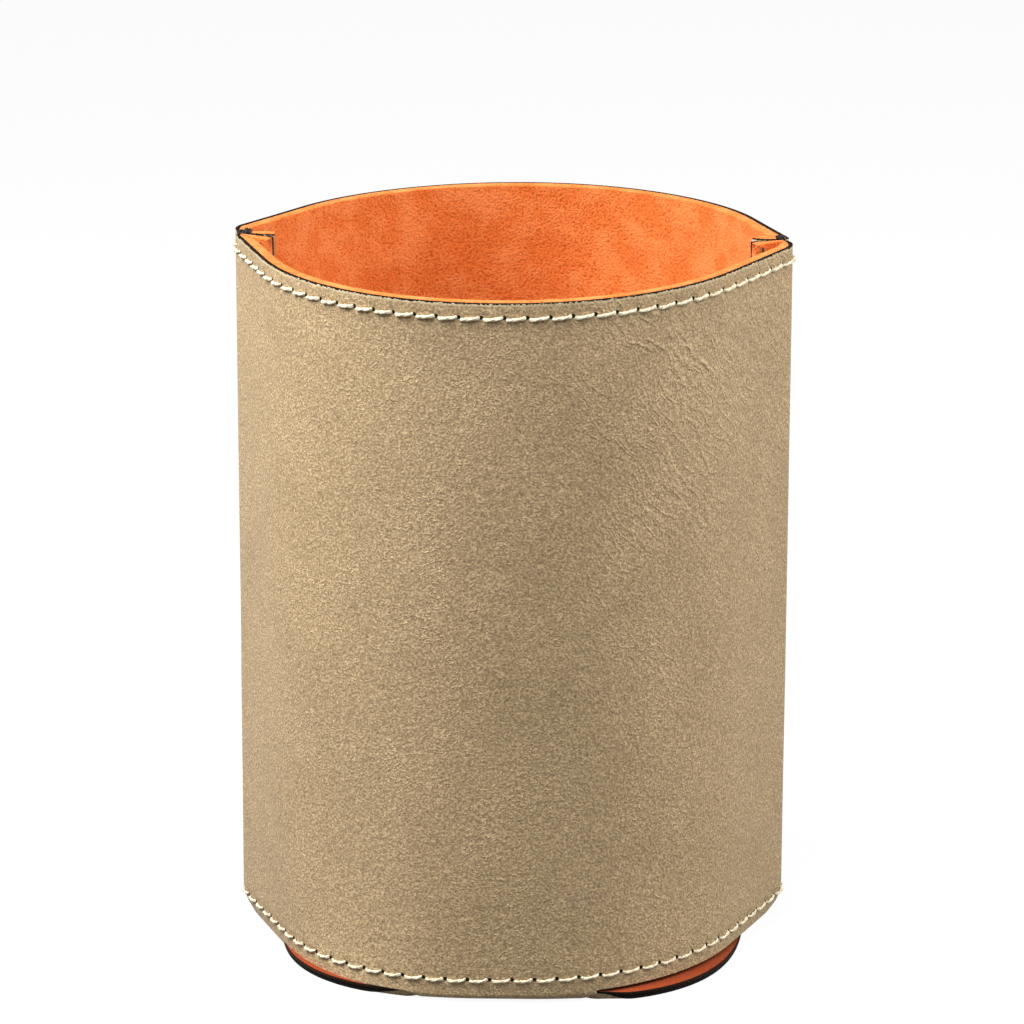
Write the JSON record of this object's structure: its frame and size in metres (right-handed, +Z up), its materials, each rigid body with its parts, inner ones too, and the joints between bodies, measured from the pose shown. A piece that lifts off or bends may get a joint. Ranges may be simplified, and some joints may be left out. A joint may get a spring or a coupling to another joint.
{
  "type": "leatherette beverage holder",
  "caption": "Folded leatherette sleeve with a round base and soft lining, sewn at both sides, that holds and insulates a drink container.",
  "frame": {"origin": "middle of the underside of the base, on the surface that the holder stands on", "axes": "+Z up through the open rim, -Y towards the front panel, the two side seams at -X and +X"},
  "size_m": [0.0794, 0.0736, 0.1006],
  "materials": {
    "leatherette": "matt pebbled grain, tan, with a dark cut edge",
    "lining": "orange napped fabric on thin foam",
    "thread": "cream twisted thread",
    "seam_thread": "black twisted thread"
  },
  "bodies": {
    "root": {"leatherette_sheet": "leatherette", "foam_lining": "lining", "rim_stitching_front": "thread", "rim_stitching_back": "thread", "hem_stitching_front": "thread", "hem_stitching_back": "thread", "left_seam_needle_thread": "seam_thread", "left_seam_bobbin_thread": "seam_thread", "right_seam_needle_thread": "seam_thread", "right_seam_bobbin_thread": "seam_thread"}
  },
  "joints": []
}
